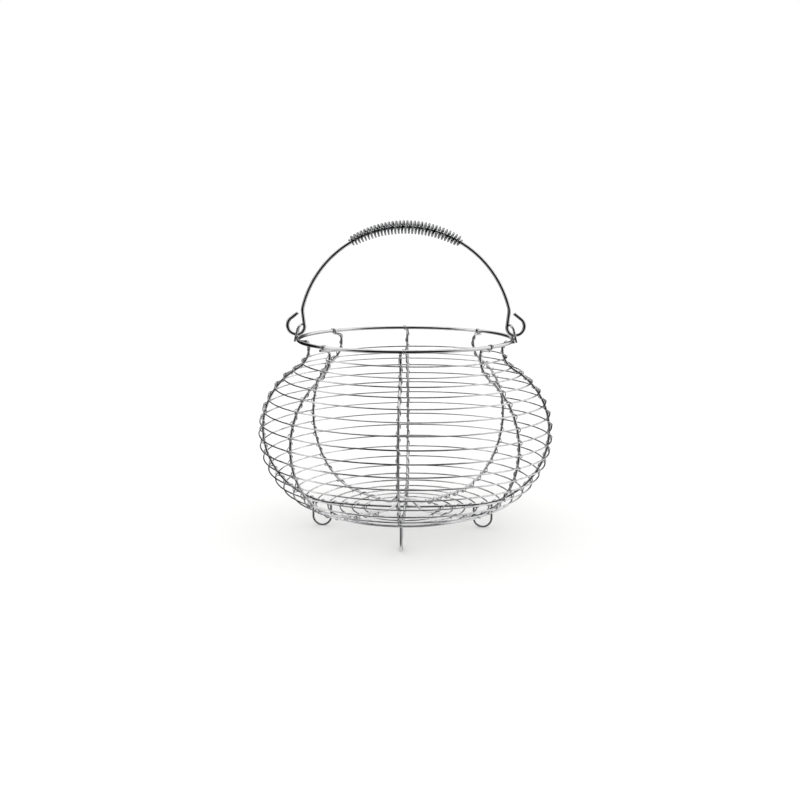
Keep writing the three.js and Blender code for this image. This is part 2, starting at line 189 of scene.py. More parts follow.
@dataclass(frozen=True)
class ChromePlate:
    """Bright chrome plate on drawn steel wire.

    Plating over drawn wire mirrors the room but keeps the die's fine lines along the wire, so
    highlights are sharp across it and a little broken along it, and the plate clouds faintly
    where it lies thinner.
    """

    name: str
    bright: str = "#c6c6c7"
    clouded: str = "#b2b3b5"
    smooth: float = 0.03
    dull: float = 0.1
    # The die's lines are finer than this: drawn coarser, so that they show in a render
    line_width: float = 0.22
    line_length: float = 30.0
    line_depth: float = 0.006
    line_strength: float = 0.12
    line_detail: float = 3.0
    line_roughness: float = 0.6
    # Levels of the lines between which the plate goes from smooth to dull
    line_levels: tuple[float, float] = (0.3, 0.75)
    cloud: float = 9.0
    cloud_detail: float = 2.0
    # Levels of the clouds between which the plate goes from bright to clouded
    cloud_levels: tuple[float, float] = (0.45, 0.75)

    def material(self) -> bpy.types.Material:
        """Makes the material, on coordinates that run along and round the wire in millimetres.

        Returns:
            The new material.
        """
        material = bare_material(self.name)
        tree = material.node_tree
        wire = add_node(tree, "ShaderNodeUVMap", uv_map=WIRE_UV).outputs["UV"]
        stretch = (1 / self.line_length, 1 / self.line_width, 1)
        across = add_node(
            tree, "ShaderNodeMapping", {"Vector": wire, "Scale": stretch}
        ).outputs["Vector"]
        lines = add_node(
            tree,
            "ShaderNodeTexNoise",
            {
                "Vector": across,
                "Scale": 1.0,
                "Detail": self.line_detail,
                "Roughness": self.line_roughness,
            },
        ).outputs["Fac"]
        clouds = add_node(
            tree,
            "ShaderNodeTexNoise",
            {"Vector": wire, "Scale": 1 / self.cloud, "Detail": self.cloud_detail},
        ).outputs["Fac"]
        low, high = self.cloud_levels
        thin = add_node(
            tree, "ShaderNodeMapRange", {"Value": clouds, "From Min": low, "From Max": high}
        ).outputs["Result"]
        # The mixed colours are the node's inputs 6 and 7 and its output 2
        colour = add_node(
            tree,
            "ShaderNodeMix",
            {0: thin, 6: linear(self.bright), 7: linear(self.clouded)},
            data_type="RGBA",
        ).outputs[2]
        low, high = self.line_levels
        roughness = add_node(
            tree,
            "ShaderNodeMapRange",
            {
                "Value": lines,
                "From Min": low,
                "From Max": high,
                "To Min": self.smooth,
                "To Max": self.dull,
            },
        ).outputs["Result"]
        bump = add_node(
            tree,
            "ShaderNodeBump",
            {"Height": lines, "Strength": self.line_strength, "Distance": self.line_depth * MM},
        ).outputs["Normal"]
        chrome = add_node(
            tree,
            "ShaderNodeBsdfPrincipled",
            {"Base Color": colour, "Metallic": 1.0, "Roughness": roughness, "Normal": bump},
        ).outputs["BSDF"]
        add_node(tree, "ShaderNodeOutputMaterial", {"Surface": chrome})
        return material


@dataclass(frozen=True)
class MattPaper:
    """Matt white paper, laid out as a studio's floor.

    Its fibres scatter all the light, so it shows no gloss and only a faint grain.
    """

    name: str = "matt_white_paper"
    colour: str = "#f2f2f1"
    roughness: float = 0.9
    # Paper's own grain is finer than this: drawn coarser, so that it shows in a render
    grain: float = 3.0
    grain_depth: float = 0.05
    grain_strength: float = 0.02

    def material(self) -> bpy.types.Material:
        """Makes the material, on the floor's own coordinates.

        Returns:
            The new material.
        """
        material = bare_material(self.name)
        tree = material.node_tree
        place = add_node(tree, "ShaderNodeTexCoord").outputs["Object"]
        grain = add_node(
            tree, "ShaderNodeTexNoise", {"Vector": place, "Scale": 1 / (self.grain * MM)}
        ).outputs["Fac"]
        bump = add_node(
            tree,
            "ShaderNodeBump",
            {"Height": grain, "Strength": self.grain_strength, "Distance": self.grain_depth * MM},
        ).outputs["Normal"]
        paper = add_node(
            tree,
            "ShaderNodeBsdfPrincipled",
            {
                "Base Color": linear(self.colour),
                "Roughness": self.roughness,
                "Specular IOR Level": 0.0,
                "Normal": bump,
            },
        ).outputs["BSDF"]
        add_node(tree, "ShaderNodeOutputMaterial", {"Surface": paper})
        return material


@dataclass(frozen=True)
class WeldBead:
    """Metal left on a wire at its welded ends."""

    # Share of the wire's diameter that is added at an end
    swell: float
    length: float

    def at(self, from_end: float) -> float:
        """Share of the wire's diameter that is added at a distance from the nearer end."""
        return self.swell * math.exp(-((from_end / self.length) ** 2))


@dataclass
class Wire:
    """A round wire swept along a centreline."""

    name: str
    path: list[Vector]
    diameter: float
    sides: int
    end: WireEnd = WireEnd.CUT
    weld: WeldBead | None = None
    # Share of the wire's diameter
    chamfer: float = 0.14
    crease: float = 35.0

    @property
    def closed(self) -> bool:
        """True for a ring."""
        return self.end is WireEnd.JOINED

    def _rings(self) -> tuple[list[Vector], list[float]]:
        """Works out the rings of the sweep, with a chamfer at each cut end.

        Returns:
            The rings' centres and their radii.
        """
        radius = self.diameter / 2
        steps = [(b - a).length for a, b in zip(self.path, self.path[1:])]
        along = [0.0, *np.cumsum(steps).tolist()]
        radii = [radius] * len(self.path)
        if self.weld:
            radii = [radius * (1 + self.weld.at(min(s, along[-1] - s))) for s in along]
        centres = list(self.path)
        if not self.closed:
            inset = self.chamfer * self.diameter
            first = centres[0].lerp(centres[1], inset / (centres[1] - centres[0]).length)
            last = centres[-1].lerp(centres[-2], inset / (centres[-2] - centres[-1]).length)
            centres = [centres[0], first, *centres[1:-1], last, centres[-1]]
            radii = [radii[0] - inset, radii[0], *radii[1:-1], radii[-1], radii[-1] - inset]
        return centres, radii

    def _frames(self, centres: list[Vector]) -> Iterator[tuple[Vector, Vector]]:
        """Works out each ring's directions, turned as little as the path allows.

        Args:
            centres: The rings' centres.

        Yields:
            Two directions across the wire, square to each other.
        """
        count = len(centres)
        side = None
        for i, centre in enumerate(centres):
            after = centres[(i + 1) % count] if self.closed or i + 1 < count else centre
            before = centres[i - 1] if self.closed or i > 0 else centre
            tangent = (after - before).normalized()
            if side is None:
                side = tangent.orthogonal()
            side = (side - tangent * side.dot(tangent)).normalized()
            yield side, tangent.cross(side)

    def _wall(self, count: int) -> tuple[np.ndarray, np.ndarray]:
        """Ring and side that each face of the wall starts at."""
        spans = count if self.closed else count - 1
        return np.divmod(np.arange(spans * self.sides), self.sides)

    def _faces(self, count: int) -> list[list[int]]:
        """Joins the rings to a wall, with a face on each cut end.

        Args:
            count: The number of rings.

        Returns:
            The numbers of each face's vertices.
        """
        ring, side = self._wall(count)
        here, there = ring * self.sides, (ring + 1) % count * self.sides
        next_side = (side + 1) % self.sides
        corners = [here + side, here + next_side, there + next_side, there + side]
        faces = np.stack(corners, axis=1).tolist()
        if not self.closed:
            faces.append(list(range(self.sides))[::-1])
            faces.append(list(range((count - 1) * self.sides, count * self.sides)))
        return faces

    def _unrolled(self, centres: list[Vector], turns: np.ndarray) -> np.ndarray:
        """Works out where the faces' corners lie along and round the wire.

        Args:
            centres: The rings' centres.
            turns: The angles of the sides.

        Returns:
            The place of each corner, in millimetres and in the order of the faces.
        """
        ring, side = self._wall(len(centres))
        steps = [(b - a).length for a, b in zip(centres, centres[1:] + centres[:1])]
        along = np.concatenate([[0.0], np.cumsum(steps)])
        girth = math.pi * self.diameter / self.sides
        corners = [(ring, side), (ring, side + 1), (ring + 1, side + 1), (ring + 1, side)]
        wall = np.stack([np.stack([along[r], s * girth], axis=1) for r, s in corners], axis=1)
        places = wall.reshape(-1, 2)
        if not self.closed:
            disc = np.stack([np.cos(turns), np.sin(turns)], axis=1) * self.diameter / 2
            places = np.concatenate([places, disc[::-1], disc])
        return places

    def build(self) -> bpy.types.Object:
        """Makes the wire's mesh, in metres, with coordinates along and round it in millimetres.

        Returns:
            The new object, linked to the scene.
        """
        centres, radii = self._rings()
        turns = np.arange(self.sides) * TURN / self.sides
        rings = [
            np.array(centre) + r * (np.outer(np.cos(turns), across) + np.outer(np.sin(turns), up))
            for centre, r, (across, up) in zip(centres, radii, self._frames(centres))
        ]
        mesh = bpy.data.meshes.new(self.name)
        mesh.from_pydata((np.concatenate(rings) * MM).tolist(), [], self._faces(len(rings)))
        layer = mesh.uv_layers.new(name=WIRE_UV)
        layer.data.foreach_set("uv", self._unrolled(centres, turns).astype(np.float32).ravel())
        mesh.shade_smooth()
        mesh.set_sharp_from_angle(angle=math.radians(self.crease))
        mesh.validate()
        piece = bpy.data.objects.new(self.name, mesh)
        bpy.context.scene.collection.objects.link(piece)
        return piece


def dress(
    piece: bpy.types.Object, body: Body, node: str, material: bpy.types.Material
) -> None:
    """Gives a piece its finish and its body, hides the node that it replaces and logs how far it
    reaches past that node's box.

    Args:
        piece: The new piece, in place.
        body: The body that it rides on.
        node: The node that it replaces.
        material: The finish.
    """
    piece.data.materials.append(material)
    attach(piece, body.value)
    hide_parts(node)
    low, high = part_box(node)
    corners = [Vector(c) for c in piece.bound_box]
    reach = max((low - corners[LOW_CORNER]).length, (high - corners[HIGH_CORNER]).length) / MM
    faces = len(piece.data.polygons)
    log.info("%s: %d faces, ends within %.2f mm of its node's box", piece.name, faces, reach)


@dataclass(frozen=True)
class Arc:
    """An arc of a circle in the half-plane, from one angle to another."""

    centre: Vector
    radius: float
    start: float
    stop: float

    @property
    def length(self) -> float:
        """Length along the arc."""
        return self.radius * abs(self.stop - self.start)

    def at(self, along: float) -> tuple[Vector, Vector]:
        """Finds a place on the arc.

        Args:
            along: Distance from the arc's start.

        Returns:
            The point there, and the unit vector out of the basket.
        """
        way = math.copysign(1.0, self.stop - self.start)
        angle = self.start + way * along / self.radius
        outward = Vector((-way * math.cos(angle), -way * math.sin(angle)))
        return polar(self.centre, self.radius, angle), outward

    def points(self, step: float, turn: float) -> list[Vector]:
        """Points along the arc, from its start to its stop.

        Args:
            step: Largest distance between two points.
            turn: Largest angle between two points, in radians.

        Returns:
            The points, both ends among them.
        """
        count = math.ceil(max(self.length / step, abs(self.stop - self.start) / turn))
        return [self.at(self.length * i / count)[0] for i in range(count + 1)]


@dataclass
class ArcChain:
    """Arcs that touch end to end, from a rib's lip down to the middle of the base."""

    arcs: list[Arc]
    belly_arc: int
    step: float = 1.5
    turn: float = math.radians(10)

    @property
    def start(self) -> float:
        """Where the chain starts, past the belly."""
        return -sum(arc.length for arc in self.arcs[: self.belly_arc])

    def at(self, past_belly: float) -> tuple[Vector, Vector]:
        """Finds a place on the chain.

        Args:
            past_belly: Distance along the chain past the belly, negative above it.

        Returns:
            The point there, and the unit vector out of the basket.
        """
        rest = past_belly - self.start
        for arc in self.arcs[:-1]:
            if rest <= arc.length:
                return arc.at(rest)
            rest -= arc.length
        return self.arcs[-1].at(rest)

    def points(self) -> list[Vector]:
        """Points along the whole chain.

        Returns:
            The points from the lip to the middle of the base.
        """
        found = []
        for arc in self.arcs:
            found += arc.points(self.step, self.turn)[1 if found else 0 :]
        return found


@dataclass
class BasketOutline:
    """The basket's outline, on the centrelines of its rim and ribs."""

    rim_wire: float = 3.0
    rib_wire: float = 2.2
    rim_radius: float = 88.0
    rim_height: float = 159.5
    neck_inset: float = 8.2
    waist_drop: float = 7.5
    # End of each rib, from the rim's centreline outwards
    rib_tip: float = 1.9
    belly_radius: float = 119.5
    belly_height: float = 83.0
    # Bends above and below the belly, as shares of the heights to the rim and to the floor
    shoulder_share: float = 0.771
    lower_share: float = 0.765
    base_slope: float = 5.0

    @property
    def rim_centre(self) -> Vector:
        """Centre of the rim wire's section in the half-plane."""
        return Vector((self.rim_radius, self.rim_height))

    @property
    def shoulder_bend(self) -> float:
        """Radius of the arc above the belly."""
        return self.shoulder_share * (self.rim_height - self.belly_height)

    @property
    def lower_bend(self) -> float:
        """Radius of the arc below the belly."""
        return self.lower_share * self.belly_height

    @property
    def shoulder_centre(self) -> Vector:
        """Centre of the arc above the belly."""
        return Vector((self.belly_radius - self.shoulder_bend, self.belly_height))

    @property
    def waist(self) -> Vector:
        """Narrowest point of a rib, below the rim."""
        return Vector((self.rim_radius - self.neck_inset, self.rim_height - self.waist_drop))

    @property
    def lip(self) -> Arc:
        """The arc that turns down from the level run under the rim to the waist."""
        bend = self.waist_drop - seat(self.rim_wire, self.rib_wire)
        return Arc(self.waist + Vector((bend, 0)), bend, QUARTER, math.pi)

    @property
    def neck(self) -> Arc:
        """The arc that is upright at the waist and touches the shoulder from outside.

        Returns:
            The arc, from the waist down.
        """
        reach = self.waist - self.shoulder_centre
        radius = (reach.length_squared - self.shoulder_bend**2) / (2 * (self.shoulder_bend - reach.x))
        centre = self.waist + Vector((radius, 0))
        return Arc(centre, radius, math.pi, bearing(self.shoulder_centre, centre) + math.pi)

    @property
    def tip(self) -> Vector:
        """End of a rib's level run, under the rim."""
        return Vector((self.rim_radius + self.rib_tip, self.waist.y + self.lip.radius))

    def chain(self) -> ArcChain:
        """Half of a rib, each arc of it touching the next.

        Returns:
            The arcs from the lip to the middle of the base.
        """
        slope = math.radians(self.base_slope)
        lower_centre = Vector((self.belly_radius - self.lower_bend, self.belly_height))
        base_bend = self.lower_bend + lower_centre.x / math.sin(slope)
        base_height = self.belly_height + (base_bend - self.lower_bend) * math.cos(slope)
        neck = self.neck
        arcs = [
            self.lip,
            neck,
            Arc(self.shoulder_centre, self.shoulder_bend, neck.stop - math.pi, 0),
            Arc(lower_centre, self.lower_bend, 0, slope - QUARTER),
            Arc(Vector((0, base_height)), base_bend, slope - QUARTER, -QUARTER),
        ]
        return ArcChain(arcs, belly_arc=3)


@dataclass
class RimRing:
    """The rim: one ring of thick wire, butt-welded at the rear."""

    outline: BasketOutline
    steps: int = 192
    sides: int = 16
    weld_at: float = 68.0
    weld: WeldBead = WeldBead(swell=0.09, length=1.6)

    def build(self, material: bpy.types.Material) -> None:
        """Makes and dresses the ring.

        Args:
            material: The finish.
        """
        centre = self.outline.rim_centre
        wire = self.outline.rim_wire
        start = math.radians(self.weld_at)
        path = [around(centre, start + TURN * i / self.steps) for i in range(self.steps)]
        ring = Wire("rim_ring_wire", path, wire, self.sides, WireEnd.JOINED, self.weld).build()
        dress(ring, Body.BASKET, "rim_ring", material)


@dataclass
class Weft:
    """One thin wire wound outside the ribs from the neck to the base."""

    outline: BasketOutline
    wire: float = 1.2
    pitch: float = 10.1
    past_belly: float = 2.4
    turns_above: float = 8.13
    turns_below: float = 12.5
    steps_per_turn: int = 96
    sides: int = 10

    def at(self, azimuth: float, turns: float = 0.0) -> float:
        """How far past the belly the weft is at an azimuth, after whole turns from the front."""
        return self.past_belly + self.pitch * ((azimuth - Place.FRONT.azimuth) / TURN + turns)

    @property
    def start(self) -> float:
        """Where the weft starts, past the belly."""
        return self.past_belly - self.pitch * self.turns_above

    @property
    def stop(self) -> float:
        """Where the weft stops, past the belly."""
        return self.past_belly + self.pitch * self.turns_below

    @property
    def away(self) -> float:
        """Distance of the weft's centreline from the ribs'."""
        return seat(self.outline.rib_wire, self.wire)

    def build(self, material: bpy.types.Material) -> None:
        """Makes and dresses the spiral.

        Args:
            material: The finish.
        """
        chain = self.outline.chain()
        count = round((self.turns_above + self.turns_below) * self.steps_per_turn)
        first = Place.FRONT.azimuth - self.turns_above * TURN
        path = []
        for i in range(count + 1):
            azimuth = first + TURN * i / self.steps_per_turn
            point, outward = chain.at(self.at(azimuth))
            path.append(around(point + outward * self.away, azimuth))
        spiral = Wire("weft_wire", path, self.wire, self.sides).build()
        dress(spiral, Body.BASKET, "weft_spiral", material)


@dataclass
class Ribs:
    """Four wires from rim to rim, crossing one over another in the middle of the base."""

    outline: BasketOutline
    weft: Weft
    sides: int = 14
    tip_steps: int = 6
    crossing_gap: float = 0.3
    # Lowest first, with the places of the two halves
    order: dict[str, tuple[Place, Place]] = field(
        default_factory=lambda: {
            "rib_left_right": (Place.RIGHT, Place.LEFT),
            "rib_front_rear": (Place.REAR, Place.FRONT),
            "rib_diagonal_a": (Place.REAR_RIGHT, Place.FRONT_LEFT),
            "rib_diagonal_b": (Place.REAR_LEFT, Place.FRONT_RIGHT),
        }
    )

    def path(self, places: tuple[Place, Place], layer: int) -> list[Vector]:
        """Centreline of one rib wire.

        Args:
            places: Where its two halves stand.
            layer: How many ribs it crosses over.

        Returns:
            The points from the rim on one side to the rim on the other.
        """
        wire = self.outline.rib_wire
        chain = self.outline.chain()
        # The upper ribs rise over the lower ones inside the weft's last turn
        lift_ends = wire * 2
        lift_starts = chain.at(self.weft.stop + self.weft.pitch / 2)[0].x - wire / 2
        rise = layer * (wire + self.crossing_gap)
        lip_start = chain.at(chain.start)[0]
        run = [self.outline.tip.lerp(lip_start, i / self.tip_steps) for i in range(self.tip_steps)]
        half = [
            Vector((p.x, p.y + rise * (1 - smoothstep(p.x, lift_ends, lift_starts))))
            for p in [*run, *chain.points()]
        ]
        near, far = ([around(point, place.azimuth) for point in half] for place in places)
        return [*near, *far[-2::-1]]

    def build(self, material: bpy.types.Material) -> None:
        """Makes and dresses the four ribs.

        Args:
            material: The finish.
        """
        for layer, (node, places) in enumerate(self.order.items()):
            path = self.path(places, layer)
            rib = Wire(f"{node}_wire", path, self.outline.rib_wire, self.sides).build()
            dress(rib, Body.BASKET, node, material)


@dataclass
class Bindings:
    """Fine wires along the ribs that loop round rib and weft at each crossing, and round the rim."""

    outline: BasketOutline
    weft: Weft
    wire: float = 0.8
    slack: float = 0.12
    steps_per_loop: int = 20
    sides: int = 8
    # Part of a loop at which the wire ends beside its rib
    leaves: float = 0.75
    # Part of a loop short of that at which it leaves for the rim
    eases: float = 0.15
    # Part of a loop that is wound past the first and the last crossing
    past_crossing: float = 0.5
    wrap_loops: float = 1.5
    wrap_pitch: float = 1.4
    wrap_ease: float = 2.2
    ease_steps: int = 14
    # Hand winding leaves no two loops quite alike
    looseness: float = 0.12
    seed: int = 7

    @property
    def beside(self) -> float:
        """Distance of a binding's centreline from its rib's, beside the rib."""
        return seat(self.outline.rib_wire, self.wire) + self.slack

    @property
    def outside(self) -> float:
        """Distance of a binding's centreline from its rib's, outside the weft."""
        return self.beside + self.weft.wire + TOUCH

    def _wrap(self, azimuth: float) -> list[Vector]:
        """Winds the turns round the rim.

        Args:
            azimuth: The rib's place.

        Returns:
            The points from the loose end to the inside of the rim, beside the rib.
        """
        radius = seat(self.outline.rim_wire, self.wire)
        path = []
        for i in range(round(self.wrap_loops * self.steps_per_loop) + 1):
            loops = i / self.steps_per_loop
            beside = (self.beside + self.wrap_pitch * loops) / self.outline.rim_radius
            point = polar(self.outline.rim_centre, radius, math.pi - TURN * loops)
            path.append(around(point, azimuth + beside))
        return path[::-1]

    def _loops(self, place: Place, rng: random.Random) -> list[Vector]:
        """Winds the loops along one rib.

        Args:
            place: The rib.
            rng: Source of the differences between loops.

        Returns:
            The points from below the rim to the base.
        """
        chain = self.outline.chain()
        at_rib = self.weft.at(place.azimuth)
        # Keeps a crossing that lies just at the weft's end
        nudge = 1e-6
        first = math.ceil((self.weft.start - at_rib) / self.weft.pitch - nudge)
        last = math.floor((self.weft.stop - at_rib) / self.weft.pitch + nudge)
        crossing = self.weft.at(place.azimuth, first)
        top_length = crossing - chain.start
        top_loops = max(0, round(top_length / self.weft.pitch - self.leaves)) + self.leaves
        top_pitch = top_length / top_loops
        ends = last - first + self.past_crossing
        begins = -top_loops if place.under_ear else self.eases - top_loops
        steps = round((ends - begins) * self.steps_per_loop)
        tangent = Vector((-math.sin(place.azimuth), math.cos(place.azimuth), 0))
        widths = [1 - self.looseness * rng.random() for _ in range(steps // self.steps_per_loop + 2)]
        path = []
        for i in range(steps + 1):
            turns = begins + (ends - begins) * i / steps
            loop, share = divmod(i / self.steps_per_loop, 1)
            width = widths[int(loop)] + share * (widths[int(loop) + 1] - widths[int(loop)])
            point, outward = chain.at(crossing + turns * (top_pitch if turns < 0 else self.weft.pitch))
            # Above the weft the loops close in on the bare rib
            outside = self.beside if turns < -self.past_crossing else self.outside
            out = (outside - self.beside) / 2 + (outside + self.beside) / 2 * math.cos(TURN * turns)
            side = self.beside * width * math.sin(TURN * turns)
            path.append(around(point + outward * out, place.azimuth) + tangent * side)
        return path

    def path(self, place: Place, rng: random.Random) -> list[Vector]:
        """Centreline of the binding along one rib.

        Args:
            place: The rib.
            rng: Source of the differences between loops.

        Returns:
            The points from the rim to the base.
        """
        loops = self._loops(place, rng)
        if place.under_ear:
            return loops
        wrap = self._wrap(place.azimuth)
        from_rim = wrap[-1] + (wrap[-1] - wrap[-2]).normalized() * self.wrap_ease
        to_rib = loops[0] + (loops[0] - loops[1]).normalized() * self.wrap_ease
        joint = interpolate_bezier(wrap[-1], from_rim, to_rib, loops[0], self.ease_steps)
        return [*wrap[:-1], *joint, *loops[1:]]

    def build(self, material: bpy.types.Material) -> None:
        """Makes and dresses the eight bindings.

        Args:
            material: The finish.
        """
        rng = random.Random(self.seed)
        for place in Place:
            node = f"binding_{place.name.lower()}"
            binding = Wire(f"{node}_wire", self.path(place, rng), self.wire, self.sides).build()
            dress(binding, Body.BASKET, node, material)


@dataclass
class Feet:
    """Four loops of wire, spot-welded under the ribs, that the basket stands on."""

    outline: BasketOutline
    weft: Weft
    wire: float = 2.0
    # Turns of the weft from the front of the belly: the feet stand between two of them
    turn: float = 8.5
    leg_room: float = 2.1
    # Depth below the rib that the binding's loops may take
    binding_room: float = 3.45
    # Depth of wire that is rubbed off where a foot stands
    flat: float = 0.4
    sides: int = 14
    leg_steps: int = 12
    bend_step: float = 0.7
    bend_turn: float = 6.0
    weld_depth: float = 0.25
    weld: WeldBead = WeldBead(swell=0.3, length=0.9)
    places: tuple[Place, ...] = (Place.LEFT, Place.FRONT, Place.RIGHT, Place.REAR)

    def path(self, place: Place) -> list[Vector]:
        """Centreline of one foot.

        Args:
            place: The rib that it stands under.

        Returns:
            The points from the outer leg's top to the inner leg's.
        """
        chain = self.outline.chain()
        # The weft meets the left foot first
        azimuth = place.azimuth + (TURN if place.azimuth < Place.LEFT.azimuth else 0)
        turns = [self.weft.at(azimuth, self.turn + shift) for shift in (-0.5, 0.5)]
        upper, lower = (chain.at(past)[1] for past in turns)
        outer_room = self.leg_room + self.binding_room * upper.x
        tops = []
        for past in (turns[0] + outer_room / upper.y, turns[1] - self.leg_room / lower.y):
            point, outward = chain.at(past)
            drop = (self.outline.rib_wire / 2 - self.weld_depth) / -outward.y
            tops.append(Vector((point.x, point.y - drop)))
        outer, inner = tops
        bend = (outer.x - inner.x) / 2
        centre = Vector((inner.x + bend, self.wire / 2 - self.flat + bend))
        sweep = Arc(centre, bend, 0, -math.pi).points(self.bend_step, math.radians(self.bend_turn))
        outer_leg, inner_leg = (
            [top.lerp(below, i / self.leg_steps) for i in range(self.leg_steps)]
            for top, below in ((outer, sweep[0]), (inner, sweep[-1]))
        )
        return [around(point, place.azimuth) for point in [*outer_leg, *sweep, *inner_leg[::-1]]]

    def build(self, material: bpy.types.Material) -> None:
        """Makes and dresses the feet, each rubbed flat where it stands.

        Args:
            material: The finish.
        """
        for place in self.places:
            node = f"foot_{place.name.lower()}"
            foot = Wire(f"{node}_wire", self.path(place), self.wire, self.sides, weld=self.weld).build()
            for vertex in foot.data.vertices:
                vertex.co.z = max(0.0, vertex.co.z)
            dress(foot, Body.BASKET, node, material)


@dataclass
class Ears:
    """Two arches of wire, welded outside the rim, that lean in and nod over the bail."""

    outline: BasketOutline
    wire: float = 2.0
    half_width: float = 4.0
    rise: float = 11.2
    tail: float = 3.2
    lean: float = 13.0
    nod: float = 2.1
    leg_steps: int = 14
    arch_step: float = 0.5
    arch_turn: float = 8.0
    sides: int = 14

    def path(self, side: int) -> list[Vector]:
        """Centreline of one ear.

        Args:
            side: -1 for the left ear and 1 for the right one.

        Returns:
            The points from one tail to the other.
        """
        lean = math.radians(self.lean)
        on_rim = polar(self.outline.rim_centre, seat(self.outline.rim_wire, self.wire), lean)
        rises = Vector((-math.sin(lean), math.cos(lean)))
        top = self.rise - self.half_width
        length = self.tail + top
        heights = [length * i / self.leg_steps - self.tail for i in range(self.leg_steps)]
        leg = [Vector((self.half_width, height)) for height in heights]
        other_leg = [Vector((-p.x, p.y)) for p in leg[::-1]]
        bend = Arc(Vector((0, top)), self.half_width, 0, math.pi)
        arch = bend.points(self.arch_step, math.radians(self.arch_turn))
        found = []
        for width, up in [*leg, *arch, *other_leg]:
            point = on_rim + rises * up
            nod = self.nod * (max(0.0, up - top) / self.half_width) ** 2
            found.append(Vector((side * (point.x - nod), width, point.y)))
        return found

    def build(self, material: bpy.types.Material) -> None:
        """Makes and dresses both ears.

        Args:
            material: The finish.
        """
        for node, side in (("ear_left", -1), ("ear_right", 1)):
            ear = Wire(f"{node}_wire", self.path(side), self.wire, self.sides).build()
            dress(ear, Body.BASKET, node, material)


@dataclass
class Bail:
    """The handle's arch of thick wire, with an open hook outside each ear."""

    outline: BasketOutline
    wire: float = 3.0
    # Air under the bail where it swings on the rim
    play: float = 0.3
    rise: float = 87.7
    inset: float = 0.6
    leg_top: float = 24.0
    leg_kink: float = 3.5
    kink_bend: float = 12.0
    foot_inset: float = 5.5
    foot_bend: float = 6.2
    hook_reach: float = 2.1
    hook_bend: float = 7.4
    hook_turn: float = 52.0
    hook_tip: float = 7.5
    arch_step: float = 1.5
    arch_turn: float = 2.0
    bend_step: float = 0.8
    bend_turn: float = 8.0
    tip_steps: int = 4
    sides: int = 16

    @property
    def pivot_height(self) -> float:
        """Height of the line that the bail swings on."""
        return self.outline.rim_height + seat(self.outline.rim_wire, self.wire, self.play)

    @property
    def arch_radius(self) -> float:
        """Radius of the arch."""
        return self.outline.rim_radius - self.inset

    @property
    def arch_centre(self) -> Vector:
        """Centre of the arch, in the plane of x and z."""
        return Vector((0, self.pivot_height + self.rise - self.arch_radius))

    def _corner(self, before: Vector, corner: Vector, after: Vector, radius: float) -> list[Vector]:
        """Rounds the corner between two straight runs.

        Args:
            before: A point of the run that leads up to the corner.
            corner: Where the two runs would meet.
            after: A point of the run that leads on.
            radius: Radius of the bend.

        Returns:
            The points of the bend.
        """
        to_before = (before - corner).normalized()
        to_after = (after - corner).normalized()
        half = math.acos(to_before.dot(to_after)) / 2
        centre = corner + (to_before + to_after).normalized() * (radius / math.sin(half))
        start = bearing(centre, corner + to_before * (radius / math.tan(half)))
        turns = to_before.x * to_after.y - to_before.y * to_after.x
        sweep = -math.copysign(math.pi - 2 * half, turns)
        bend = Arc(centre, radius, start, start + sweep)
        return bend.points(self.bend_step, math.radians(self.bend_turn))

    def half(self) -> list[Vector]:
        """Half of the centreline.

        Returns:
            The points from the top of the arch to the hook's tip.
        """
        leg_height = self.pivot_height + self.leg_top - self.arch_centre.y
        leg_angle = math.asin(leg_height / self.arch_radius)
        half_arch = Arc(self.arch_centre, self.arch_radius, QUARTER, leg_angle)
        arch = half_arch.points(self.arch_step, math.radians(self.arch_turn))
        kink = polar(arch[-1], self.leg_kink, leg_angle - QUARTER)
        foot = Vector((self.outline.rim_radius - self.foot_inset, self.pivot_height))
        hook_start = Vector((self.outline.rim_radius + self.hook_reach, self.pivot_height))
        hook_centre = Vector((hook_start.x, self.pivot_height + self.hook_bend))
        turn = math.radians(self.hook_turn)
        bend = Arc(hook_centre, self.hook_bend, -QUARTER, turn)
        hook = bend.points(self.bend_step, math.radians(self.bend_turn))
        tip = polar(hook[-1], self.hook_tip, turn + QUARTER)
        tips = [hook[-1].lerp(tip, (i + 1) / self.tip_steps) for i in range(self.tip_steps)]
        return [
            *arch,
            *self._corner(arch[-1], kink, foot, self.kink_bend),
            *self._corner(kink, foot, hook_start, self.foot_bend),
            *hook,
            *tips,
        ]

    def build(self, material: bpy.types.Material) -> None:
        """Makes and dresses the bail.

        Args:
            material: The finish.
        """
        right = [Vector((p.x, 0, p.y)) for p in self.half()]
        left = [Vector((-p.x, 0, p.z)) for p in right]
        bail = Wire("bail_round_wire", [*left[::-1], *right[1:]], self.wire, self.sides).build()
        dress(bail, Body.HANDLE, "bail_wire", material)


